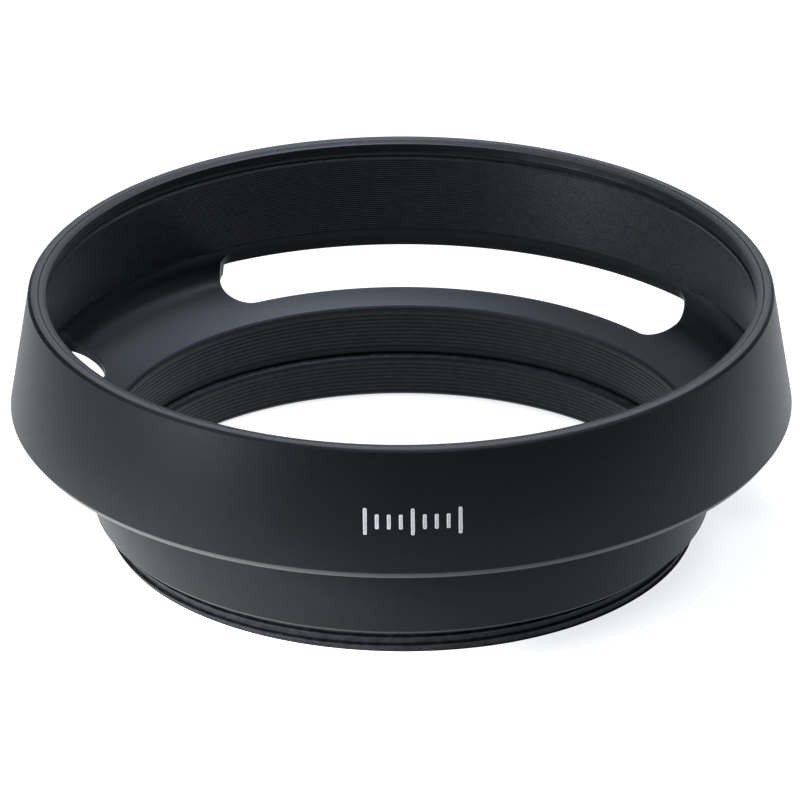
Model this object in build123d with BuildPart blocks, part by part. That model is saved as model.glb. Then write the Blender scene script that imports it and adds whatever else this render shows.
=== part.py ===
"""Vented screw-in lens hood for a 49 mm filter thread, in millimetres.

Two turned aluminium pieces and one paint fill:
  hood_shell   flared skirt, vented shoulder and the neck that screws into the mount ring
  mount_ring   rear collar with the neck's socket, the light bore and the M49 x 0.75 thread
  index_fill   white paint in the engraved index scale on the skirt

+Z is the optical axis, from the lens towards the subject. The origin is the centre of the
rear face, so the hood stands on Z = 0 with its mouth up. One vent is centred on +Y.
"""

import os

from build123d import *
from math import atan, cos, degrees, radians, sin, tan

# ---- Rear mount: M49 x 0.75 filter thread ----
THREAD_PITCH = 0.75
THREAD_CREST_R = 24.45
THREAD_ROOT_R = 24.04
THREAD_BURY = 0.1
THREAD_START_Z = 0.37
THREAD_RISE = 1.45
LIGHT_BORE_R = 23.5
BORE_LEAD = 0.25

# ---- Collar of the mount ring ----
COLLAR_R = 25.6
COLLAR_BOTTOM_Z = 2.2
COLLAR_CHAMFER = 0.3
RELIEF_R = 24.55
RELIEF_DEPTH = 0.1
EDGE_BREAK = 0.1
SEAT_Z = 7.65
SOCKET_R = 24.9
LEDGE_Z = 3.6

# ---- Neck of the shell, a running fit in the collar's socket ----
NECK_R = 24.85
NECK_BORE_R = 24.2
NECK_END_Z = 3.75
NECK_CHAMFER = 0.12
SEAT_OUTER_R = 25.75

# ---- Vented shoulder ----
SHOULDER_START_R = 24.45
SHOULDER_START_Z = 8.06
SHOULDER_SLOPE = 0.40
SHOULDER_FILLET = 2.5
UNDERSIDE_OUTER_R = 30.65
UNDERSIDE_OUTER_Z = 10.0
VENT_COUNT = 3
VENT_PITCH_R = 28.7
VENT_WIDTH = 4.4
VENT_SPAN = 86.0
VENT_BOTTOM_Z = 6.65
VENT_TOP_Z = 12.1
VENT_CENTRE = 90.0

# ---- Flared skirt ----
HOOD_HEIGHT = 21.2
SKIRT_TOP_R = 30.69
SKIRT_TOP_Z = 20.98
SKIRT_BOTTOM_R = 32.3
SKIRT_BOTTOM_Z = 11.16
HEEL_R = 31.83
HEEL_Z = 10.53
HEEL_INNER_Z = 10.85
RIM_OUTER_R = 30.44
RIM_INNER_R = 29.74
LIP_R = 29.19
LIP_TOP_Z = 21.03
LIP_BOTTOM_Z = 20.35
GROOVE_BOTTOM_Z = 19.75
GROOVE_DEPTH = 0.18

# ---- Light-trap ridges turned into both bores ----
RIDGE_PITCH = 0.35
RIDGE_DEPTH = 0.08
NECK_RIDGES_Z = (4.30, 7.45)
BORE_RIDGES_Z = (0.40, 3.20)

# ---- Engraved index scale, filled with paint ----
INDEX_ANGLE = -77.4
INDEX_Z = 15.4
INDEX_DEPTH = 0.12
TICK_COUNT = 9
TICK_SPACING = 0.95
TICK_WIDTH = 0.30
LONG_TICK = 2.2
SHORT_TICK = 1.2

SKIRT_FLARE = (SKIRT_BOTTOM_R - SKIRT_TOP_R) / (SKIRT_TOP_Z - SKIRT_BOTTOM_Z)


def skirt_outer_r(z):
    """Outer radius of the flared skirt at height z."""
    return SKIRT_TOP_R + SKIRT_FLARE * (SKIRT_TOP_Z - z)


def ridged_bore(radius, z_from, z_to):
    """Profile points of V-shaped ridges in a bore, from z_from to z_to."""
    count = round(abs(z_to - z_from) / RIDGE_PITCH)
    step = (z_to - z_from) / count
    points = [(radius, z_from)]
    for i in range(count):
        points.append((radius + RIDGE_DEPTH, z_from + (i + 0.5) * step))
        points.append((radius, z_from + (i + 1) * step))
    return points


def shoulder_corner():
    """Where the shoulder's cone would meet the skirt's inner cone without a fillet."""
    rise = GROOVE_BOTTOM_Z - SHOULDER_START_Z + SHOULDER_SLOPE * SHOULDER_START_R
    r = (LIP_R + SKIRT_FLARE * rise) / (1 + SKIRT_FLARE * SHOULDER_SLOPE)
    return r, SHOULDER_START_Z + SHOULDER_SLOPE * (r - SHOULDER_START_R)


# ---- Mount ring: collar, socket, ledge, light bore and lens thread ----
ring_profile = [
    (LIGHT_BORE_R + BORE_LEAD, 0),
    (THREAD_ROOT_R, 0),
    (THREAD_ROOT_R, COLLAR_BOTTOM_Z + RELIEF_DEPTH),
    (RELIEF_R, COLLAR_BOTTOM_Z + RELIEF_DEPTH),
    (RELIEF_R, COLLAR_BOTTOM_Z),
    (COLLAR_R - COLLAR_CHAMFER, COLLAR_BOTTOM_Z),
    (COLLAR_R, COLLAR_BOTTOM_Z + COLLAR_CHAMFER),
    (COLLAR_R, SEAT_Z - EDGE_BREAK),
    (COLLAR_R - EDGE_BREAK, SEAT_Z),
    (SOCKET_R + EDGE_BREAK, SEAT_Z),
    (SOCKET_R, SEAT_Z - EDGE_BREAK),
    (SOCKET_R, LEDGE_Z),
    (LIGHT_BORE_R + BORE_LEAD, LEDGE_Z),
    (LIGHT_BORE_R, LEDGE_Z - BORE_LEAD),
    *ridged_bore(LIGHT_BORE_R, BORE_RIDGES_Z[1], BORE_RIDGES_Z[0]),
    (LIGHT_BORE_R, BORE_LEAD),
]
# The thread's 60 degree flanks run on into the ring's wall by THREAD_BURY
thread_foot_r = THREAD_ROOT_R - THREAD_BURY
crest_half = THREAD_PITCH / 16
foot_half = crest_half + (THREAD_CREST_R - thread_foot_r) * tan(radians(30))
thread_section = [
    (thread_foot_r, THREAD_START_Z - foot_half),
    (THREAD_CREST_R, THREAD_START_Z - crest_half),
    (THREAD_CREST_R, THREAD_START_Z + crest_half),
    (thread_foot_r, THREAD_START_Z + foot_half),
]
with BuildPart() as mount_ring:
    with BuildSketch(Plane.XZ):
        with BuildLine():
            Polyline(*ring_profile, close=True)
        make_face()
    revolve(axis=Axis.Z)
    with BuildLine(Plane.XY.offset(THREAD_START_Z)) as thread_path:
        Helix(pitch=THREAD_PITCH, height=THREAD_RISE, radius=THREAD_ROOT_R)
    with BuildSketch(Plane.XZ) as thread_face:
        with BuildLine():
            Polyline(*thread_section, close=True)
        make_face()
    sweep(sections=thread_face.sketch, path=thread_path.line, is_frenet=True)


# ---- Index fill: paint that lies flush in the engraved ticks ----
skin_top = INDEX_Z + LONG_TICK
skin_bottom = INDEX_Z - LONG_TICK
skin_profile = [
    (skirt_outer_r(skin_bottom) - INDEX_DEPTH, skin_bottom),
    (skirt_outer_r(skin_bottom), skin_bottom),
    (skirt_outer_r(skin_top), skin_top),
    (skirt_outer_r(skin_top) - INDEX_DEPTH, skin_top),
]
index_angle = radians(INDEX_ANGLE)
index_r = skirt_outer_r(INDEX_Z)
flare_angle = atan(SKIRT_FLARE)
index_plane = Plane(
    origin=(index_r * cos(index_angle), index_r * sin(index_angle), INDEX_Z),
    x_dir=(-sin(index_angle), cos(index_angle), 0),
    z_dir=(
        cos(flare_angle) * cos(index_angle),
        cos(flare_angle) * sin(index_angle),
        sin(flare_angle),
    ),
)
last_tick = TICK_COUNT - 1
with BuildPart() as index_fill:
    with BuildSketch(Plane.XZ):
        with BuildLine():
            Polyline(*skin_profile, close=True)
        make_face()
    revolve(axis=Axis.Z)
    with BuildSketch(index_plane):
        for i in range(TICK_COUNT):
            is_long = i in (0, last_tick / 2, last_tick)
            with Locations(((i - last_tick / 2) * TICK_SPACING, 0)):
                Rectangle(TICK_WIDTH, LONG_TICK if is_long else SHORT_TICK)
    extrude(amount=LONG_TICK, both=True, mode=Mode.INTERSECT)

# ---- Hood shell: skirt, vented shoulder and neck in one turned piece ----
shell_profile = [
    (SHOULDER_START_R, SHOULDER_START_Z),
    (NECK_BORE_R, SHOULDER_START_Z - (SHOULDER_START_R - NECK_BORE_R)),
    *ridged_bore(NECK_BORE_R, NECK_RIDGES_Z[1], NECK_RIDGES_Z[0]),
    (NECK_BORE_R, NECK_END_Z + NECK_CHAMFER),
    (NECK_BORE_R + NECK_CHAMFER, NECK_END_Z),
    (NECK_R, NECK_END_Z),
    (NECK_R, SEAT_Z),
    (SEAT_OUTER_R, SEAT_Z),
    (UNDERSIDE_OUTER_R, UNDERSIDE_OUTER_Z),
    (UNDERSIDE_OUTER_R, HEEL_INNER_Z),
    (HEEL_R, HEEL_Z),
    (SKIRT_BOTTOM_R, SKIRT_BOTTOM_Z),
    (SKIRT_TOP_R, SKIRT_TOP_Z),
    (RIM_OUTER_R, HOOD_HEIGHT),
    (RIM_INNER_R, HOOD_HEIGHT),
    (LIP_R, LIP_TOP_Z),
    (LIP_R, LIP_BOTTOM_Z),
    (LIP_R + GROOVE_DEPTH, LIP_BOTTOM_Z - GROOVE_DEPTH),
    (LIP_R + GROOVE_DEPTH, GROOVE_BOTTOM_Z + GROOVE_DEPTH),
    (LIP_R, GROOVE_BOTTOM_Z),
]
vent_end_angle = degrees(VENT_WIDTH / 2 / VENT_PITCH_R)
vent_arc_span = VENT_SPAN - 2 * vent_end_angle
with BuildPart() as hood_shell:
    with BuildSketch(Plane.XZ):
        with BuildLine():
            Polyline(*shell_profile)
            FilletPolyline(
                shell_profile[-1],
                shoulder_corner(),
                shell_profile[0],
                radius=SHOULDER_FILLET,
            )
        make_face()
    revolve(axis=Axis.Z)
    with BuildSketch(Plane.XY.offset(VENT_BOTTOM_Z)):
        for i in range(VENT_COUNT):
            start = VENT_CENTRE + i * 360 / VENT_COUNT - vent_arc_span / 2
            with BuildLine():
                vent_line = CenterArc((0, 0), VENT_PITCH_R, start, vent_arc_span)
            SlotArc(arc=vent_line, height=VENT_WIDTH)
    extrude(amount=VENT_TOP_Z - VENT_BOTTOM_Z, mode=Mode.SUBTRACT)
    add(index_fill.part, mode=Mode.SUBTRACT)

# ---- Hand over ----
os.makedirs("parts", exist_ok=True)
pieces = {"mount_ring": mount_ring, "hood_shell": hood_shell, "index_fill": index_fill}
for node, piece in pieces.items():
    piece.part.label = node
    export_step(piece.part, f"parts/{node}.step")
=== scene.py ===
"""Looks of the vented lens hood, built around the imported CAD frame.

The two turned pieces are rebuilt as dense meshes with their tool marks, edge breaks and
threads, and the index scale as a raised paint print. Profiles are in millimetres, as
(radius, height) points on the optical axis; meshes are in metres, in the CAD's frame.
"""

import math

import bpy
import numpy as np
from mathutils import Matrix, Vector


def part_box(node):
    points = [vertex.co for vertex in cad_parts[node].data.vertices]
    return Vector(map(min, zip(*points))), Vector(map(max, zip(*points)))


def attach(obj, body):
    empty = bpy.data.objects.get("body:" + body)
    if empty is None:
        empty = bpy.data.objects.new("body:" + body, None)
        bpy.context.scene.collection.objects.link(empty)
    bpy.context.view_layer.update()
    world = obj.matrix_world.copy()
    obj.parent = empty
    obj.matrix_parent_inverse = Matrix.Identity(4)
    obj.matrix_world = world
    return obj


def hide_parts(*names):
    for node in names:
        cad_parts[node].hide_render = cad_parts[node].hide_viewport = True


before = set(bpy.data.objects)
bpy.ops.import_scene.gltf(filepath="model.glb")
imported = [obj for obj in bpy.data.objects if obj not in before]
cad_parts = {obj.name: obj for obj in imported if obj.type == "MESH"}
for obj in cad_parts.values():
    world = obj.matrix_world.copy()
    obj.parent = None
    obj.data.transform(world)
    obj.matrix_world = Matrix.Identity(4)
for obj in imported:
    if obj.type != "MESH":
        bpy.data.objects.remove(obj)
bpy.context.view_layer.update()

MM = 0.001
rng = np.random.default_rng(49)

# ---- Driving dimensions, shared with the CAD ----
_, ring_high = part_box("mount_ring")
shell_low, shell_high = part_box("hood_shell")
COLLAR_R = ring_high.x / MM
SEAT_Z = ring_high.z / MM
SKIRT_R = shell_high.x / MM
NECK_END_Z = shell_low.z / MM
HOOD_HEIGHT = shell_high.z / MM

THREAD_PITCH = 0.75
THREAD_CREST_R = 24.45
THREAD_ROOT_R = 24.18
THREAD_START_Z = 0.0
THREAD_TURNS = 2.6
THREAD_RUN_OUT = 0.12
THREAD_FLANK = 30.0
THREAD_CHAMFER = 0.12
COLLAR_BOTTOM_Z = 2.2
COLLAR_CHAMFER = 0.3
RELIEF_R = 24.55
RELIEF_DEPTH = 0.1
LIGHT_BORE_R = 23.5
BORE_LEAD = 0.25
SOCKET_R = 24.9
LEDGE_Z = 3.6
NECK_R = 24.85
NECK_BORE_R = 24.2
NECK_CHAMFER = 0.06
NECK_DROP = 0.07
SEAT_OUTER_R = 25.75

SHOULDER_START_R = 24.45
SHOULDER_START_Z = 8.06
SHOULDER_SLOPE = 0.40
SHOULDER_FILLET = 2.5
UNDERSIDE_OUTER_R = 30.65
UNDERSIDE_OUTER_Z = 10.0
VENT_PITCH_R = 28.7
VENT_WIDTH = 4.4
VENT_SPAN = 86.0
VENT_TOP_Z = 12.1
VENT_CENTRES = (90.0, 210.0, 330.0)
# how far the shell's rows keep from a vent's tip, its lower edge, the heel and the shoulder's start
VENT_LEAD = 2.6
VENT_LOW_INSET = 0.15
HEEL_MARGIN = 0.25
SHELF_START = 0.11

SKIRT_TOP_R = 30.69
SKIRT_TOP_Z = 20.98
SKIRT_BOTTOM_Z = 11.16
HEEL_R = 31.83
HEEL_Z = 10.53
HEEL_INNER_Z = 10.85
RIM_OUTER_R = 30.44
RIM_INNER_R = 29.74
LIP_R = 29.19
LIP_TOP_Z = 21.03
LIP_BOTTOM_Z = 20.35
BURR_Z = LIP_BOTTOM_Z + 0.03
GROOVE_BOTTOM_Z = 19.75
GROOVE_EDGE_Z = GROOVE_BOTTOM_Z + 0.02
GROOVE_DEPTH = 0.18
SKIRT_FLARE = (SKIRT_R - SKIRT_TOP_R) / (SKIRT_TOP_Z - SKIRT_BOTTOM_Z)

# ---- Tool marks and edges ----
RIB_START_Z = 12.35
WALL_RIB_PITCH = 0.205
WALL_RIB_DEPTH = 0.042
BORE_RIB_PITCH = 0.34
BORE_RIB_DEPTH = 0.024
BORE_RIBS_Z = (3.2, 0.4)
NECK_RIBS_Z = (7.5, 4.3)
# a rib's section, as shares of its pitch and depth
SHARP_RIB = ((0, 0.0), (0.5, 1.0))
WIDE_RIB = ((0, 0.0), (0.3, 0.0), (0.6, 1.0), (0.85, 1.0))
EDGE = 0.05
EDGE_SHARE = 0.45
VENT_EDGE = 0.07
SHARP_ANGLE = 38.0
BURR_STEPS = 720
BURR_REACH = 0.02
BURR_JAG = 0.01
GROOVE_EDGE_REACH = 0.03
GROOVE_EDGE_JAG = 0.012
# Painted highlight on the shoulder: its band gets a lighter base colour, fading out with radius,
# standing in for the overhead light's reflection.
PAINTED_HIGHLIGHT_R = 26.8
PAINTED_HIGHLIGHT_FADE = 2.2
PAINTED_HIGHLIGHT_BAND = 0.05

# ---- Wear, and painted highlights carried with it: 0 is untouched anodising, 1 a fully rubbed edge; more only shows where wear is patchy ----
EDGE_WEAR = 0.3
RIB_WEAR = 0.5
# The whole thread, crests and roots alike, is lightened towards the bare edge colour.
THREAD_LIGHTENING = 0.8
# The ring's ledge is lightened past full wear: a painted highlight for the ledge that the overhead
# light catches.
LEDGE_PAINTED_HIGHLIGHT = 1.2
VENT_TOP_WEAR = 0.5
VENT_LOW_WEAR = 0.3
BURR_WEAR = 0.6
BURR_WEAR_SPREAD = 0.3

# ---- How finely the meshes are cut ----
THREAD_ROWS = 88
RING_COLUMNS = 480
VENT_END_STEP = 5.0
VENT_HALF_STEPS = 39
GAP_STEPS = 38
SHOULDER_ROWS = 9
FOOT_ROWS = 9
UNDERSIDE_ROWS = 3
SHELF_ROWS = 3
SEAT_ROWS = 2
FILLET_STEPS = 40
TICK_POINTS = 48

# ---- Index scale and its paint ----
INDEX_ANGLE = -77.4
INDEX_Z = 15.4
TICK_COUNT = 9
TICK_SPACING = 0.95
TICK_WIDTH = 0.30
LONG_TICK = 2.2
SHORT_TICK = 1.2
TICK_SQUARENESS = 0.25
PAINT_HEIGHT = 0.02
PAINT_ROUGHNESS = 0.006
# inset from a stroke's outline and height above the skirt, from the outline inwards
PAINT_SECTION = ((0, -0.02), (0, 0.6 * PAINT_HEIGHT), (0.03, PAINT_HEIGHT), (0.075, 0.8 * PAINT_HEIGHT))
PAINT_RIM = 0.05

# ---- Surfaces: linear colours, noise in cells per metre, heights in metres ----
BLACK_DARK = (0.0026, 0.0028, 0.0033, 1)
BLACK_LIGHT = (0.0034, 0.0037, 0.0043, 1)
# Painted highlight: the lighter colour given to the shoulder's band.
PAINTED_HIGHLIGHT_GREY = (0.017, 0.018, 0.021, 1)
BARE_EDGE_AND_HIGHLIGHT = (0.050, 0.054, 0.062, 1)
BARE_EDGE_AND_HIGHLIGHT_COVER = 0.5
DUST = (0.35, 0.36, 0.38, 1)
DUST_COVER = 0.85
DUST_CELLS = 420
DUST_RARITY = 0.965
DUST_SIZE = (0.02, 0.035)
LINE_CELLS = 14000
LINE_STRETCH = 0.004
LINE_HEIGHT = 0.0000014
GRAIN_CELLS = 9000
GRAIN_HEIGHT = 0.000013
GRAIN_ROUGHNESS = 0.3
CLOUD_CELLS = 90
SPOT_CELLS = 1400
ROUGHNESS = (0.39, 0.41)
SHEEN_LEVEL = 0.20
SHEEN_TINT = (0.84, 0.92, 1.0, 1)
PAINT_DULL = (0.36, 0.365, 0.38, 1)
PAINT_WHITE = (0.66, 0.67, 0.68, 1)
PAINT_EDGE = (0.74, 0.75, 0.76, 1)
PAINT_GRAIN_HEIGHT = 0.000006

# ---- Studio, in metres ----
CAMERA_TURN = math.radians(-79.0)
CAMERA_RISE = math.radians(25.795)
CAMERA_AWAY = 0.67493
CAMERA_LENS = 366.9
CAMERA_SENSOR = 36
CAMERA_CLIP = (0.01, 20)
CAMERA_ROLL = -0.002757
CAMERA_SIDE = -0.000105
CAMERA_AIM_Z = 0.010839
FLOOR_HALF = 3.0
FLOOR_WHITE = 0.25
FLOOR_ROUGHNESS = 0.9
FLOOR_SHEEN_LEVEL = 0.1
FLOOR_TINT = (0.99, 1.0, 1.02, 1)
# Painted light on the floor: an emission glow where the hood stands, fading further out, and a brighter
# painted pool of light to its left.
FLOOR_GLOW = 0.785
FLOOR_GLOW_FAR = 0.3 * FLOOR_GLOW
FLOOR_GLOW_FADE = (0.08, 0.16)
POOL_GLOW = 1.9
POOL_FADE = (0.012, 0.045)
POOL_RIGHT = -0.030
POOL_FAR = -0.031
SOFTBOX_AWAY = 0.5
COOL_WHITE = (0.93, 0.975, 1.07)
LIGHT_AIM = Vector((0, 0, 0.01))
WORLD_COLOUR = (0.93, 0.95, 1.0, 1)
WORLD_STRENGTH = 0.02
to_right = Vector((-math.sin(CAMERA_TURN), math.cos(CAMERA_TURN), 0))
to_far = Vector((-math.cos(CAMERA_TURN), -math.sin(CAMERA_TURN), 0))


# ---- Profiles ----
def softened(points, steps=3):
    """Rows (radius, height, wear) of a profile whose corners are rounded.

    Each point is (radius, height, edge radius). A rounded corner is worn, and a quarter as
    much where its rounding starts and ends.
    """
    rows = [(points[0][0], points[0][1], 0.0)]
    for before, here, after in zip(points, points[1:], points[2:]):
        corner = np.array(here[:2], float)
        back = np.array(before[:2], float) - corner
        on = np.array(after[:2], float) - corner
        back_length, on_length = np.hypot(*back), np.hypot(*on)
        back, on = back / back_length, on / on_length
        if here[2] == 0:
            rows.append((here[0], here[1], 0.0))
            continue
        half = math.acos(max(-1.0, min(1.0, float(back @ on)))) / 2
        reach = min(here[2] / math.tan(half), EDGE_SHARE * back_length, EDGE_SHARE * on_length)
        for i in range(steps):
            t = i / (steps - 1)
            point = corner + reach * ((1 - t) ** 2 * back + t**2 * on)
            rows.append((point[0], point[1], EDGE_WEAR if 0 < t < 1 else EDGE_WEAR / 4))
    rows.append((points[-1][0], points[-1][1], 0.0))
    return rows


def ribs(r_from, z_from, r_to, z_to, pitch, depth, shape):
    """Rows of fine ribs along a straight bore wall; the valleys are cut outwards."""
    count = round(math.hypot(r_to - r_from, z_to - z_from) / pitch)
    rows = []
    for i in range(count):
        for along, deep in shape:
            t = (i + along) / count
            r = r_from + (r_to - r_from) * t + depth * deep
            rows.append((r, z_from + (z_to - z_from) * t, RIB_WEAR * (1 - deep)))
    rows.append((r_to, z_to, 0.0))
    return rows


def bore_ribs(radius, z_from, z_to):
    """Rows of the wide ribs turned into a straight bore."""
    return ribs(radius, z_from, radius, z_to, BORE_RIB_PITCH, BORE_RIB_DEPTH, WIDE_RIB)


def cone_r(z):
    """Inner radius of the flared skirt at height z."""
    return LIP_R + SKIRT_FLARE * (GROOVE_BOTTOM_Z - z)


def skirt_r(z):
    """Outer radius of the flared skirt at height z."""
    return SKIRT_TOP_R + SKIRT_FLARE * (SKIRT_TOP_Z - z)


class Curve:
    """A profile curve that gives points by arc length, and arc lengths by radius or height."""

    def __init__(self, points):
        self.points = np.array(points, float)
        steps = np.hypot(*np.diff(self.points, axis=0).T)
        self.lengths = np.concatenate([[0], np.cumsum(steps)])

    def at(self, s):
        """(radius, height) at arc length s."""
        return (
            float(np.interp(s, self.lengths, self.points[:, 0])),
            float(np.interp(s, self.lengths, self.points[:, 1])),
        )

    def where_radius(self, r):
        """Arc length at which the curve first reaches radius r."""
        rising = int(np.argmax(self.points[:, 0])) + 1
        return float(np.interp(r, self.points[:rising, 0], self.lengths[:rising]))

    def where_height(self, z):
        """Arc length at which the curve reaches height z."""
        return float(np.interp(z, self.points[:, 1], self.lengths))


def inner_floor():
    """The shoulder's upper side, its fillet and the foot of the skirt's inner wall."""
    start = np.array([SHOULDER_START_R, SHOULDER_START_Z])
    rise = GROOVE_BOTTOM_Z - SHOULDER_START_Z + SHOULDER_SLOPE * SHOULDER_START_R
    corner_r = (LIP_R + SKIRT_FLARE * rise) / (1 + SKIRT_FLARE * SHOULDER_SLOPE)
    corner = np.array([corner_r, SHOULDER_START_Z + SHOULDER_SLOPE * (corner_r - SHOULDER_START_R)])
    top = np.array([cone_r(RIB_START_Z), RIB_START_Z])
    back = (start - corner) / np.hypot(*(start - corner))
    on = (top - corner) / np.hypot(*(top - corner))
    half = math.acos(float(back @ on)) / 2
    middle = corner + (back + on) / np.hypot(*(back + on)) * SHOULDER_FILLET / math.sin(half)
    reach = SHOULDER_FILLET / math.tan(half)
    first, last = corner + reach * back - middle, corner + reach * on - middle
    a, b = math.atan2(first[1], first[0]), math.atan2(last[1], last[0])
    arc = [
        middle + SHOULDER_FILLET * np.array([math.cos(t), math.sin(t)])
        for t in np.linspace(a, b, FILLET_STEPS)
    ]
    return Curve([start, *arc, top])


floor_curve = inner_floor()
under_curve = Curve([
    (SEAT_OUTER_R, SEAT_Z),
    (UNDERSIDE_OUTER_R, UNDERSIDE_OUTER_Z),
    (UNDERSIDE_OUTER_R, HEEL_INNER_Z),
    (HEEL_R, HEEL_Z),
])


# ---- Where the vents meet those curves, as arc lengths ----
VENT_TIPS = [centre + side * VENT_SPAN / 2 for centre in VENT_CENTRES for side in (-1, 1)]
SHOULDER_WIDEST_R = float(floor_curve.points[:, 0].max())
top_inner = floor_curve.where_radius(VENT_PITCH_R - VENT_WIDTH / 2)
top_tip = floor_curve.where_radius(VENT_PITCH_R)
top_roof = floor_curve.where_height(VENT_TOP_Z)
low_inner = under_curve.where_radius(VENT_PITCH_R - VENT_WIDTH / 2)
low_tip = under_curve.where_radius(VENT_PITCH_R)
low_outer = under_curve.where_radius(UNDERSIDE_OUTER_R - VENT_LOW_INSET)
under_corner, under_drop, under_end = under_curve.lengths[1:]


# ---- Mesh helpers ----
class MeshPoints:
    """Points in millimetres and the wear of each, which also carries painted highlights; adding one
    gives its number.
    """

    def __init__(self):
        self.places, self.wear_and_highlight = [], []

    def milled(self, xy, z, worn_and_highlit=0.0):
        """A point at a place (x, y) across the axis."""
        self.places.append((float(xy[0]), float(xy[1]), z))
        self.wear_and_highlight.append(worn_and_highlit)
        return len(self.places) - 1

    def turned(self, angle, r, z, worn_and_highlit=0.0):
        """A point at a radius, on a column at an angle in radians."""
        return self.milled((r * math.cos(angle), r * math.sin(angle)), z, worn_and_highlit)

    def turned_rows(self, angle, rows):
        """Points for all rows of a profile, on one column."""
        return [self.turned(angle, *row) for row in rows]


def new_piece(name, points, faces):
    """An object with smooth shading up to the sharp angle, and its wear, with painted highlights, as an
    attribute.
    """
    mesh = bpy.data.meshes.new(name)
    mesh.from_pydata([Vector(place) * MM for place in points.places], [], faces)
    mesh.validate()
    attribute = mesh.attributes.new("wear_and_highlight", "FLOAT", "POINT")
    attribute.data.foreach_set("value", np.array(points.wear_and_highlight, np.float32))
    mesh.shade_smooth()
    mesh.set_sharp_from_angle(angle=math.radians(SHARP_ANGLE))
    piece = bpy.data.objects.new(name, mesh)
    bpy.context.scene.collection.objects.link(piece)
    return piece


def strip(faces, left, right):
    """Quads, or triangles where points coincide, between two closed loops of point numbers."""
    pairs = list(zip(left, right))
    for (a, b), (d, c) in zip(pairs, pairs[1:] + pairs[:1]):
        ring = list(dict.fromkeys((a, b, c, d)))
        if len(ring) > 2:
            faces.append(ring)


def smoothstep(t):
    """0 to 1 along an S curve, and flat outside it."""
    t = np.clip(t, 0, 1)
    return t * t * (3 - 2 * t)


# ---- Mount ring ----
def thread_r(angle, z):
    """Radius of the thread's surface: a right-hand helix, chamfered at its lower end.

    Its crest is an eighth of the pitch wide, and it runs out at its upper end.
    """
    turn = (z - THREAD_START_Z) / THREAD_PITCH - angle / (2 * math.pi)
    nearest = np.round(turn)
    along = nearest + angle / (2 * math.pi)
    away = np.abs(turn - nearest) * THREAD_PITCH
    flank = (THREAD_CREST_R - THREAD_ROOT_R) * math.tan(math.radians(THREAD_FLANK))
    crest_half = THREAD_PITCH / 16
    height = 1 - smoothstep((away - crest_half) / flank)
    run_out = smoothstep((THREAD_TURNS - along) / THREAD_RUN_OUT)
    full = THREAD_ROOT_R + (THREAD_CREST_R - THREAD_ROOT_R) * height * run_out
    return np.minimum(full, THREAD_CREST_R - THREAD_CHAMFER + z)


def make_ring():
    """The collar, its thread and its ribbed bore, as one closed turned mesh."""
    relief_z = COLLAR_BOTTOM_Z + RELIEF_DEPTH
    foot = softened([
        (LIGHT_BORE_R, BORE_LEAD + 0.1, 0),
        (LIGHT_BORE_R, BORE_LEAD, 0.03),
        (LIGHT_BORE_R + BORE_LEAD, 0, EDGE),
        (THREAD_ROOT_R - 0.05, 0, 0),
    ])
    # Every thread row is lightened towards the bare edge colour.
    thread = [(None, z, THREAD_LIGHTENING) for z in np.linspace(0, relief_z - 0.02, THREAD_ROWS)]
    collar = softened([
        (THREAD_ROOT_R, relief_z, 0),
        (RELIEF_R, relief_z, 0),
        (RELIEF_R, COLLAR_BOTTOM_Z, 0),
        (COLLAR_R - COLLAR_CHAMFER, COLLAR_BOTTOM_Z, EDGE),
        (COLLAR_R, COLLAR_BOTTOM_Z + COLLAR_CHAMFER, EDGE),
        (COLLAR_R, SEAT_Z, 0.09),
        (SOCKET_R, SEAT_Z, 0.09),
        (SOCKET_R, LEDGE_Z, 0),
        (LIGHT_BORE_R + BORE_LEAD, LEDGE_Z, 0.08),
        (LIGHT_BORE_R, LEDGE_Z - BORE_LEAD, 0.04),
        (LIGHT_BORE_R, LEDGE_Z - BORE_LEAD - 0.1, 0),
    ])
    # The ledge's rows get a painted highlight through the wear value.
    collar = [
        (r, z, LEDGE_PAINTED_HIGHLIGHT if z == LEDGE_Z and r < NECK_BORE_R else worn_and_highlit) for r, z, worn_and_highlit in collar
    ]
    rows = foot + thread + collar + bore_ribs(LIGHT_BORE_R, *BORE_RIBS_Z)
    points = MeshPoints()
    for angle in np.arange(RING_COLUMNS) * 2 * math.pi / RING_COLUMNS:
        for r, z, worn_and_highlit in rows:
            points.turned(angle, float(thread_r(angle, z)) if r is None else r, z, worn_and_highlit)
    faces = []
    for j in range(RING_COLUMNS):
        here = [j * len(rows) + k for k in range(len(rows))]
        after = [(j + 1) % RING_COLUMNS * len(rows) + k for k in range(len(rows))]
        strip(faces, after, here)
    return new_piece("threaded_mount_ring", points, faces)


# ---- Hood shell ----
def shell_columns():
    """The shell's columns of points round the axis: (angle, vent's end or None, phi or None).

    Angles are in degrees. Inside a vent, phi runs from 0 at the tip of its round end to 90
    where the straight-sided part begins; the second value is the angle of the circle's
    centre and which way the tip points.
    """
    tip_reach = math.degrees(VENT_WIDTH / 2 / VENT_PITCH_R)
    arc_half = VENT_SPAN / 2 - tip_reach
    columns = []
    for centre in VENT_CENTRES:
        for side in (-1, 1):
            end = centre + side * arc_half
            for phi in np.arange(0, 90, VENT_END_STEP):
                angle = end + side * tip_reach * math.cos(math.radians(phi))
                columns.append((angle % 360, (end, side), phi))
        step = arc_half / VENT_HALF_STEPS
        for angle in np.arange(centre - arc_half, centre + arc_half + 0.01, step):
            columns.append((angle % 360, (angle, 1), 90.0))
        gap_start = centre + VENT_SPAN / 2
        gap_end = centre + 360 / len(VENT_CENTRES) - VENT_SPAN / 2
        for angle in np.linspace(gap_start, gap_end, GAP_STEPS)[1:-1]:
            columns.append((angle % 360, None, None))
    return sorted(columns, key=lambda c: c[0])


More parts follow.
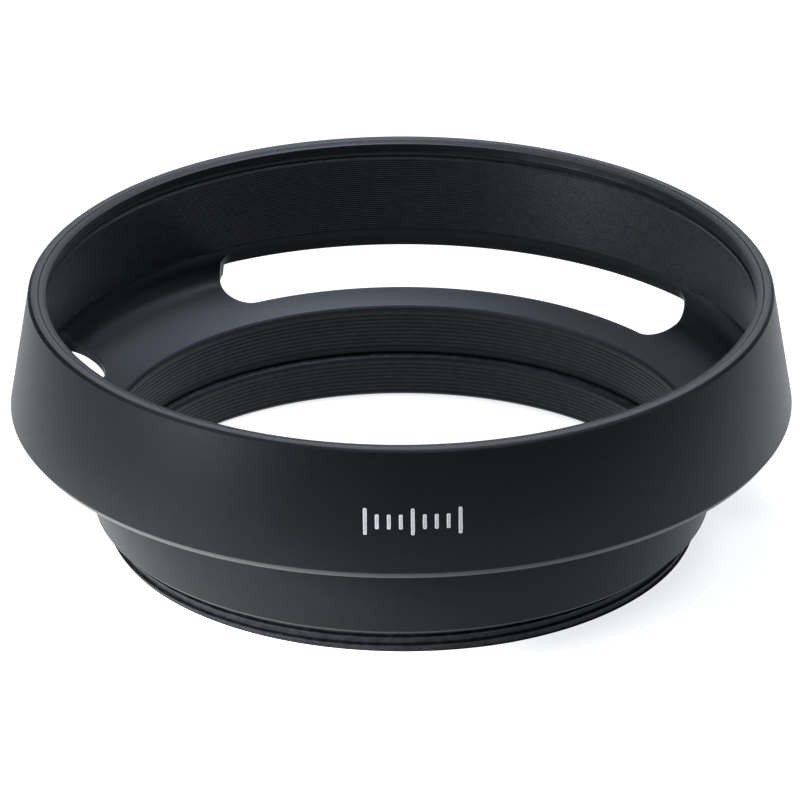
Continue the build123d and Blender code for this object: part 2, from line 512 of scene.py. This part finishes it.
def vent_outline(circle, phi, branch, offset):
    """(x, y) on a vent's outline, offset outwards; branch is +1 far from the axis, -1 near."""
    a = math.radians(circle[0])
    radial = np.array([math.cos(a), math.sin(a)])
    along = np.array([-math.sin(a), math.cos(a)]) * circle[1]
    p = math.radians(phi)
    reach = VENT_WIDTH / 2 + offset
    return VENT_PITCH_R * radial + reach * (math.cos(p) * along + branch * math.sin(p) * radial)


def spread(curve, s_from, s_to, count):
    """Count rows strictly between two arc lengths of a curve."""
    return [curve.at(s_from + (s_to - s_from) * (i + 1) / (count + 1)) for i in range(count)]


def rim_and_wall():
    """Rows from the heel up the skirt, over the rim and down the ribbed inner wall."""
    skirt = softened([
        (HEEL_R - 0.2, HEEL_Z + 0.054, 0),
        (HEEL_R, HEEL_Z, EDGE),
        (SKIRT_R, SKIRT_BOTTOM_Z, 0.08),
        (skirt_r(16), 16, 0),
        (SKIRT_TOP_R, SKIRT_TOP_Z, EDGE),
        (RIM_OUTER_R, HOOD_HEIGHT, 0.04),
        (RIM_INNER_R + 0.16, HOOD_HEIGHT, 0.02),
        (RIM_INNER_R + 0.09, HOOD_HEIGHT - 0.045, 0),
        (RIM_INNER_R, HOOD_HEIGHT - 0.03, 0.02),
        (LIP_R, LIP_TOP_Z, 0.04),
        (LIP_R, LIP_BOTTOM_Z + 0.09, 0),
        (LIP_R, BURR_Z, 0),
        (LIP_R + GROOVE_DEPTH * 0.5, LIP_BOTTOM_Z - 0.02, 0),
        (LIP_R + GROOVE_DEPTH, LIP_BOTTOM_Z - GROOVE_DEPTH, 0),
        (LIP_R + GROOVE_DEPTH, GROOVE_BOTTOM_Z + GROOVE_DEPTH, 0),
        (LIP_R + 0.02, GROOVE_EDGE_Z, 0),
        (cone_r(GROOVE_BOTTOM_Z - 0.08), GROOVE_BOTTOM_Z - 0.08, 0),
    ])
    wall_top = GROOVE_BOTTOM_Z - 0.14
    wall_line = (cone_r(wall_top), wall_top, cone_r(RIB_START_Z), RIB_START_Z)
    return skirt + ribs(*wall_line, WALL_RIB_PITCH, WALL_RIB_DEPTH, SHARP_RIB)


def neck_rows():
    """Rows from the shoulder's inner edge down the neck's bore and up its outside."""
    neck_end = NECK_END_Z - NECK_DROP
    throat = softened([
        (SHOULDER_START_R + 0.1, SHOULDER_START_Z + 0.04, 0),
        (SHOULDER_START_R, SHOULDER_START_Z, EDGE),
        (NECK_BORE_R, SHOULDER_START_Z - SHOULDER_START_R + NECK_BORE_R, EDGE),
        (NECK_BORE_R, 7.6, 0),
    ])
    foot = softened([
        (NECK_BORE_R, 4.15, 0),
        (NECK_BORE_R, neck_end + NECK_CHAMFER, EDGE),
        (NECK_BORE_R + NECK_CHAMFER, neck_end, EDGE),
        (NECK_R, neck_end, EDGE),
        (NECK_R, SEAT_Z, 0),
        (SEAT_OUTER_R, SEAT_Z, 0),
    ])
    return throat + bore_ribs(NECK_BORE_R, *NECK_RIBS_Z) + foot[:-1]


def gap_column(points, degrees):
    """The cut edges and middles of a column in solid metal, which closes in on a vent's tip."""
    angle = math.radians(degrees)
    away = min(abs((degrees - tip + 180) % 360 - 180) for tip in VENT_TIPS)
    opened = min(1.0, math.radians(away) * VENT_PITCH_R / VENT_LEAD)
    s_in = top_tip + (top_inner - top_tip) * opened
    s_out = top_tip + (top_roof - top_tip) * opened
    u_in = low_tip + (low_inner - low_tip) * opened
    u_out = low_tip + (low_outer - low_tip) * opened
    cuts = [(floor_curve, s_in), (floor_curve, s_out), (under_curve, u_in), (under_curve, u_out)]
    edges = points.turned_rows(angle, [curve.at(length) for curve, length in cuts])
    return {
        "solid": True,
        "lengths": (s_in, s_out, u_in, u_out),
        "edges": edges,
        "middle_top": points.turned_rows(angle, spread(floor_curve, s_out, s_in, SHOULDER_ROWS)),
        "middle_low": points.turned_rows(angle, spread(under_curve, u_in, u_out, UNDERSIDE_ROWS)),
    }


def under_length(r):
    """Arc length along the underside at radius r, counted on past its upright step."""
    if r < UNDERSIDE_OUTER_R:
        return under_curve.where_radius(r)
    beyond = (r - UNDERSIDE_OUTER_R) / (HEEL_R - UNDERSIDE_OUTER_R)
    return under_drop + beyond * (under_end - under_drop)


def vent_column(points, degrees, circle, phi):
    """The cut edges and walls of a column through a vent."""
    inner = vent_outline(circle, phi, -1, VENT_EDGE)
    outer = vent_outline(circle, phi, 1, VENT_EDGE)
    outer_r = float(np.hypot(*outer))
    s_in = floor_curve.where_radius(np.hypot(*inner))
    u_in = under_curve.where_radius(np.hypot(*inner))
    under_roof = outer_r >= SHOULDER_WIDEST_R
    if under_roof:
        s_out = top_tip + (top_roof - top_tip) * math.sin(math.radians(phi))
    else:
        s_out = floor_curve.where_radius(outer_r)
    u_out = under_length(outer_r)
    in_top, in_low = floor_curve.at(s_in)[1], under_curve.at(u_in)[1]
    out_top, out_low = floor_curve.at(s_out)[1], under_curve.at(u_out)[1]

    top_in = points.milled(inner, in_top, VENT_TOP_WEAR)
    low_in = points.milled(inner, in_low, VENT_LOW_WEAR)
    near = vent_outline(circle, phi, -1, 0)
    near_top, near_low = in_top - VENT_EDGE, in_low + VENT_EDGE
    wall_in = [
        points.milled(near, near_low, VENT_LOW_WEAR),
        points.milled(near, (near_low + near_top) / 2),
        points.milled(near, near_top, VENT_TOP_WEAR),
    ]
    if phi == 0:
        top_out, low_out, wall_out = top_in, low_in, wall_in[::-1]
    else:
        if under_roof:
            top_out = points.turned(math.radians(degrees), *floor_curve.at(s_out), VENT_TOP_WEAR)
        else:
            top_out = points.milled(outer, out_top, VENT_TOP_WEAR)
        low_out = points.milled(outer, out_low, VENT_LOW_WEAR)
        far = vent_outline(circle, phi, 1, 0)
        far_top = out_top if under_roof else out_top - VENT_EDGE
        far_low = out_low + VENT_EDGE
        wall_out = [
            points.milled(far, far_top, VENT_LOW_WEAR),
            points.milled(far, (far_top + far_low) / 2),
            points.milled(far, far_low, VENT_LOW_WEAR),
        ]
    return {
        "solid": False,
        "lengths": (s_in, s_out, u_in, u_out),
        "edges": (top_in, top_out, low_in, low_out),
        "middle_top": [top_in] * SHOULDER_ROWS,
        "middle_low": [low_in] * UNDERSIDE_ROWS,
        "wall_in": wall_in,
        "wall_out": wall_out,
    }


def heel_steps(u_out):
    """Two arc lengths on the underside between a vent's outer edge and the heel."""
    if u_out <= under_corner:
        return under_corner, under_drop
    left_over = under_end - HEEL_MARGIN - u_out
    return u_out + left_over / 3, u_out + 2 * left_over / 3


def ragged_rim(rows, jag):
    """The rim's rows with the burr under its lip and at the groove's lower edge, for one column."""
    rim = []
    for r, z, worn_and_highlit in rows:
        if z == BURR_Z:
            r = r - BURR_REACH - BURR_JAG * abs(jag)
            worn_and_highlit = BURR_WEAR + BURR_WEAR_SPREAD * jag
        if z == GROOVE_EDGE_Z:
            r = r - GROOVE_EDGE_REACH + GROOVE_EDGE_JAG * jag
            worn_and_highlit = BURR_WEAR
        rim.append((r, z, worn_and_highlit))
    return rim


def make_shell():
    """The skirt, shoulder and neck as columns of points, split in two loops at the vents."""
    skirt = rim_and_wall()
    neck = neck_rows()
    burr = rng.normal(0, 1, BURR_STEPS)
    points, columns = MeshPoints(), []
    for degrees, circle, phi in shell_columns():
        angle = math.radians(degrees)
        if circle is None:
            column = gap_column(points, degrees)
        else:
            column = vent_column(points, degrees, circle, phi)
        s_in, s_out, u_in, u_out = column["lengths"]
        top_in, top_out, low_in, low_out = column["edges"]
        jag = burr[int(degrees * BURR_STEPS / 360) % BURR_STEPS]
        heel = points.turned_rows(angle, [under_curve.at(u) for u in heel_steps(u_out)])
        rim = points.turned_rows(angle, ragged_rim(skirt, jag))
        foot = spread(floor_curve, floor_curve.lengths[-1], s_out, FOOT_ROWS)
        foot = points.turned_rows(angle, foot)
        shelf = points.turned_rows(angle, spread(floor_curve, s_in, SHELF_START, SHELF_ROWS))
        throat = points.turned_rows(angle, neck)
        seat = points.turned_rows(angle, spread(under_curve, 0.0, u_in, SEAT_ROWS))
        seat_edge = points.turned(angle, SEAT_OUTER_R, SEAT_Z)
        column["outer"] = [low_out, *heel, *rim, *foot, top_out]
        column["inner"] = [top_in, *shelf, *throat, seat_edge, *seat, low_in]
        columns.append(column)

    faces = []
    for pair in zip(columns, columns[1:] + columns[:1]):
        if any(column["solid"] for column in pair):
            loops = [c["outer"] + c["middle_top"] + c["inner"] + c["middle_low"] for c in pair]
            strip(faces, *loops)
        else:
            strip(faces, *[c["inner"] + c["wall_in"] for c in pair])
            strip(faces, *[c["outer"] + c["wall_out"] for c in pair])
    shell = new_piece("turned_hood_shell", points, faces)
    # The shoulder's inner band gets a painted highlight: a mask for a lighter base colour that stands
    # in for the overhead light's reflection.
    places = np.array(points.places)
    radii, heights = np.hypot(*places[:, :2].T), places[:, 2]
    off_shoulder = np.abs(heights - SHOULDER_START_Z - SHOULDER_SLOPE * (radii - SHOULDER_START_R))
    shoulder_painted_highlight = (off_shoulder < PAINTED_HIGHLIGHT_BAND) * (1 - smoothstep((radii - PAINTED_HIGHLIGHT_R) / PAINTED_HIGHLIGHT_FADE))
    attribute = shell.data.attributes.new("shoulder_painted_highlight", "FLOAT", "POINT")
    attribute.data.foreach_set("value", shoulder_painted_highlight.astype(np.float32))
    return shell


# ---- Index scale ----
def squarish(turn):
    """A rounded-corner rectangle's (across, along) shares of its half sizes, at a turn round it."""
    shares = (math.cos(turn), math.sin(turn))
    return [math.copysign(abs(share) ** TICK_SQUARENESS, share) for share in shares]


def make_ticks():
    """Nine raised paint strokes that follow the skirt's cone."""
    slant = math.atan(SKIRT_FLARE)
    points, faces = MeshPoints(), []
    for i in range(TICK_COUNT):
        is_long = i in (0, (TICK_COUNT - 1) / 2, TICK_COUNT - 1)
        half_long = (LONG_TICK if is_long else SHORT_TICK) / 2
        half_wide = TICK_WIDTH / 2
        middle = (i - (TICK_COUNT - 1) / 2) * TICK_SPACING
        loops = []
        for inset, height in PAINT_SECTION:
            loop = []
            for k in range(TICK_POINTS):
                across, along = squarish(2 * math.pi * k / TICK_POINTS)
                wide = across * (half_wide - inset)
                tall = along * (half_long - inset)
                rough = PAINT_ROUGHNESS * rng.normal() if height > 0 else 0
                z = INDEX_Z + (tall + rough) * math.cos(slant)
                r = skirt_r(z) + height
                angle = math.radians(INDEX_ANGLE) + (middle + wide + rough) / r
                loop.append(points.turned(angle, r, z, 1.0 if inset < PAINT_RIM else 0.0))
            loops.append(loop)
        for low, high in zip(loops, loops[1:]):
            strip(faces, high, low)
        faces.append(loops[-1])
        faces.append(loops[0][::-1])
    return new_piece("index_paint_strokes", points, faces)


# ---- Materials ----
class Nodes:
    """Small helper that adds shader nodes and links them."""

    def __init__(self, name):
        self.material = bpy.data.materials.new(name)
        self.material.use_nodes = True
        self.tree = self.material.node_tree
        self.tree.nodes.clear()

    def add(self, kind, **settings):
        node = self.tree.nodes.new(kind)
        for key, value in settings.items():
            setattr(node, key, value)
        return node

    def link(self, source, target):
        self.tree.links.new(source, target)

    def feed(self, socket, value):
        """Links a socket, or sets a plain value."""
        if isinstance(value, bpy.types.NodeSocket):
            self.link(value, socket)
        else:
            socket.default_value = value

    def math(self, operation, a, b=0.0):
        node = self.add("ShaderNodeMath", operation=operation)
        self.feed(node.inputs[0], a)
        self.feed(node.inputs[1], b)
        return node.outputs[0]

    def noise(self, vector, scale, detail=2.0, roughness=0.5):
        node = self.add("ShaderNodeTexNoise")
        self.link(vector, node.inputs["Vector"])
        node.inputs["Scale"].default_value = scale
        node.inputs["Detail"].default_value = detail
        node.inputs["Roughness"].default_value = roughness
        return node.outputs["Fac"]

    def remap(self, value, low, high, to_low, to_high):
        node = self.add("ShaderNodeMapRange", clamp=True)
        self.feed(node.inputs["Value"], value)
        limits = {"From Min": low, "From Max": high, "To Min": to_low, "To Max": to_high}
        for key, number in limits.items():
            node.inputs[key].default_value = number
        return node.outputs["Result"]

    def mix(self, factor, a, b):
        """Blends two colours; the colour sockets of this node are known only by number."""
        node = self.add("ShaderNodeMix", data_type="RGBA")
        self.feed(node.inputs["Factor"], factor)
        self.feed(node.inputs[6], a)
        self.feed(node.inputs[7], b)
        return node.outputs[2]

    def combine(self, x, y, z):
        node = self.add("ShaderNodeCombineXYZ")
        for socket, value in zip(node.inputs, (x, y, z)):
            self.feed(socket, value)
        return node.outputs[0]

    def bump(self, height, distance, normal=None):
        node = self.add("ShaderNodeBump")
        node.inputs["Distance"].default_value = distance
        self.link(height, node.inputs["Height"])
        if normal is not None:
            self.link(normal, node.inputs["Normal"])
        return node.outputs["Normal"]

    def finish(self, shader):
        output = self.add("ShaderNodeOutputMaterial")
        self.link(shader, output.inputs["Surface"])
        return self.material


def anodised(name, seed):
    """Satin black anodised aluminium: blasted grain, faint turning lines, worn edges, dust, and painted
    highlights on the ring's ledge and the shell's shoulder.
    """
    n = Nodes(name)
    place = n.add("ShaderNodeTexCoord").outputs["Object"]
    axes = n.add("ShaderNodeSeparateXYZ")
    n.link(place, axes.inputs[0])
    x, y, z = axes.outputs
    radius = n.math("SQRT", n.math("ADD", n.math("MULTIPLY", x, x), n.math("MULTIPLY", y, y)))
    angle = n.math("ARCTAN2", y, x)
    turned = n.combine(n.math("MULTIPLY", angle, LINE_STRETCH), n.math("ADD", radius, seed), z)
    lines = n.noise(turned, LINE_CELLS, 3, 0.7)
    grain = n.noise(place, GRAIN_CELLS, 2, 0.6)
    cloud = n.noise(place, CLOUD_CELLS, 4, 0.6)
    spots = n.noise(place, SPOT_CELLS, 2, 0.5)

    # The wear attribute also carries the ledge's painted highlight and a lightening of the whole
    # thread.
    wear_and_highlight = n.add("ShaderNodeAttribute", attribute_name="wear_and_highlight").outputs["Fac"]
    patchy = n.remap(spots, 0.42, 0.62, 0.35, 1.0)
    worn_and_highlit = n.math("MULTIPLY", wear_and_highlight, patchy)
    specks = n.add("ShaderNodeTexVoronoi", feature="F1")
    n.link(place, specks.inputs["Vector"])
    specks.inputs["Scale"].default_value = DUST_CELLS
    chance = n.add("ShaderNodeSeparateColor")
    n.link(specks.outputs["Color"], chance.inputs[0])
    near = n.remap(specks.outputs["Distance"], *DUST_SIZE, 1.0, 0.0)
    rare = n.math("GREATER_THAN", chance.outputs[0], DUST_RARITY)
    dust = n.math("MULTIPLY", near, rare)

    deep = n.mix(n.remap(cloud, 0.35, 0.65, 0, 1), BLACK_DARK, BLACK_LIGHT)
    # Painted highlight: the shoulder's band is given a lighter colour.
    shoulder_painted_highlight = n.add("ShaderNodeAttribute", attribute_name="shoulder_painted_highlight").outputs["Fac"]
    deep = n.mix(shoulder_painted_highlight, deep, PAINTED_HIGHLIGHT_GREY)
    edged_and_highlit = n.mix(n.math("MULTIPLY", worn_and_highlit, BARE_EDGE_AND_HIGHLIGHT_COVER), deep, BARE_EDGE_AND_HIGHLIGHT)
    colour = n.mix(n.math("MULTIPLY", dust, DUST_COVER), edged_and_highlit, DUST)
    unevenness = n.math("MULTIPLY", n.math("SUBTRACT", grain, 0.5), GRAIN_ROUGHNESS)
    rough = n.math("ADD", n.remap(cloud, 0.3, 0.7, *ROUGHNESS), unevenness)
    normal = n.bump(grain, GRAIN_HEIGHT)
    normal = n.bump(lines, LINE_HEIGHT, normal)

    shader = n.add("ShaderNodeBsdfPrincipled")
    n.link(colour, shader.inputs["Base Color"])
    n.link(rough, shader.inputs["Roughness"])
    n.link(normal, shader.inputs["Normal"])
    shader.inputs["Specular IOR Level"].default_value = SHEEN_LEVEL
    shader.inputs["Specular Tint"].default_value = SHEEN_TINT
    return n.finish(shader.outputs[0])


def fill_paint():
    """Matt white fill paint, a little mottled, with a cleaner raised edge."""
    n = Nodes("index_white")
    place = n.add("ShaderNodeTexCoord").outputs["Object"]
    mottle = n.noise(place, GRAIN_CELLS, 3, 0.7)
    edge = n.add("ShaderNodeAttribute", attribute_name="wear_and_highlight").outputs["Fac"]
    body = n.mix(n.remap(mottle, 0.38, 0.66, 0, 1), PAINT_DULL, PAINT_WHITE)
    colour = n.mix(edge, body, PAINT_EDGE)
    shader = n.add("ShaderNodeBsdfPrincipled")
    n.link(colour, shader.inputs["Base Color"])
    n.link(n.remap(mottle, 0.3, 0.7, 0.5, 0.7), shader.inputs["Roughness"])
    n.link(n.bump(mottle, PAINT_GRAIN_HEIGHT), shader.inputs["Normal"])
    return n.finish(shader.outputs[0])


def floor_material():
    """White paper with a painted glow where the hood stands and a brighter painted pool of light to its
    left, both given as emission.
    """
    n = Nodes("studio_floor")
    place = n.add("ShaderNodeTexCoord").outputs["Object"]
    away = n.add("ShaderNodeVectorMath", operation="LENGTH")
    n.link(place, away.inputs[0])
    near = n.remap(away.outputs["Value"], *FLOOR_GLOW_FADE, FLOOR_GLOW, FLOOR_GLOW_FAR)
    aside = n.add("ShaderNodeVectorMath", operation="DISTANCE")
    n.link(place, aside.inputs[0])
    aside.inputs[1].default_value = to_right * POOL_RIGHT + to_far * POOL_FAR
    pool = n.remap(aside.outputs["Value"], *POOL_FADE, POOL_GLOW, 0.0)
    pool.node.interpolation_type = "SMOOTHSTEP"
    shader = n.add("ShaderNodeBsdfPrincipled")
    shader.inputs["Base Color"].default_value = (FLOOR_WHITE, FLOOR_WHITE, FLOOR_WHITE, 1)
    shader.inputs["Roughness"].default_value = FLOOR_ROUGHNESS
    shader.inputs["Specular IOR Level"].default_value = FLOOR_SHEEN_LEVEL
    shader.inputs["Emission Color"].default_value = FLOOR_TINT
    # The emission is painted light: the glow near the hood plus the pool.
    n.link(n.math("ADD", near, pool), shader.inputs["Emission Strength"])
    return n.finish(shader.outputs[0])


# ---- The three pieces ----
ring = make_ring()
ring.data.materials.append(anodised("black_anodised_ring", 0.31))
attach(ring, "mount")
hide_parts("mount_ring")

shell = make_shell()
shell.data.materials.append(anodised("black_anodised_shell", 0.0))
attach(shell, "shell")
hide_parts("hood_shell")

ticks = make_ticks()
ticks.data.materials.append(fill_paint())
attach(ticks, "shell")
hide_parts("index_fill")


# ---- Camera: a long lens, above and in front ----
def studio(right, far, up):
    """A point in the studio, from the hood's foot: to the camera's right, away from it, up."""
    return to_right * right + to_far * far + Vector((0, 0, up))


target = studio(CAMERA_SIDE, 0, CAMERA_AIM_Z)
back = -to_far * math.cos(CAMERA_RISE) + Vector((0, 0, math.sin(CAMERA_RISE)))
camera = bpy.data.objects.new("camera", bpy.data.cameras.new("camera"))
bpy.context.scene.collection.objects.link(camera)
turn = (-back).to_track_quat("-Z", "Y").to_matrix() @ Matrix.Rotation(CAMERA_ROLL, 3, "Z")
camera.matrix_world = Matrix.Translation(target + back * CAMERA_AWAY) @ turn.to_4x4()
camera.data.lens = CAMERA_LENS
camera.data.sensor_width = CAMERA_SENSOR
camera.data.clip_start, camera.data.clip_end = CAMERA_CLIP
bpy.context.scene.camera = camera

# ---- Floor and light ----
floor_mesh = bpy.data.meshes.new("studio_floor")
floor_corners = [(-1, -1, 0), (1, -1, 0), (1, 1, 0), (-1, 1, 0)]
floor_mesh.from_pydata(floor_corners, [], [(0, 1, 2, 3)])
floor_mesh.transform(Matrix.Scale(FLOOR_HALF, 4))
floor = bpy.data.objects.new("studio_floor", floor_mesh)
bpy.context.scene.collection.objects.link(floor)
floor.data.materials.append(floor_material())


def softbox(name, bearing, rise, size, radiance):
    """A square soft light aimed at the hood; bearing is clockwise from straight behind it."""
    turn_to, lift = math.radians(bearing), math.radians(rise)
    flat = SOFTBOX_AWAY * math.cos(lift)
    height = SOFTBOX_AWAY * math.sin(lift) + LIGHT_AIM.z
    light = bpy.data.lights.new(name, "AREA")
    light.shape = "SQUARE"
    light.size = size
    light.energy = math.pi * size**2 * radiance
    light.color = COOL_WHITE
    lamp = bpy.data.objects.new(name, light)
    bpy.context.scene.collection.objects.link(lamp)
    lamp.location = studio(flat * math.sin(turn_to), flat * math.cos(turn_to), height)
    lamp.location.z = max(lamp.location.z, size / 2 + LIGHT_AIM.z)
    lamp.rotation_mode = "QUATERNION"
    lamp.rotation_quaternion = (LIGHT_AIM - lamp.location).to_track_quat("-Z", "Y")
    lamp.visible_camera = False


softbox("key_low_left", 240, 7, 0.20, 12.0)
softbox("key_left", 240, 28, 0.22, 4.2)
softbox("side_low_left", 270, 7, 0.20, 3.0)
softbox("side_high_left", 270, 52, 0.26, 1.6)
softbox("overhead", 35, 77, 0.26, 19.0)
softbox("back_right", 45, 52, 0.26, 2.0)
softbox("back_left", 315, 52, 0.26, 0.6)
softbox("back", 0, 28, 0.22, 3.2)
softbox("side_right", 90, 28, 0.22, 1.0)
softbox("back_low", 30, 7, 0.20, 0.5)

world = bpy.data.worlds.new("studio")
bpy.context.scene.world = world
world.use_nodes = True
background = world.node_tree.nodes["Background"]
background.inputs["Color"].default_value = WORLD_COLOUR
background.inputs["Strength"].default_value = WORLD_STRENGTH
bpy.context.scene.view_settings.view_transform = "Standard"
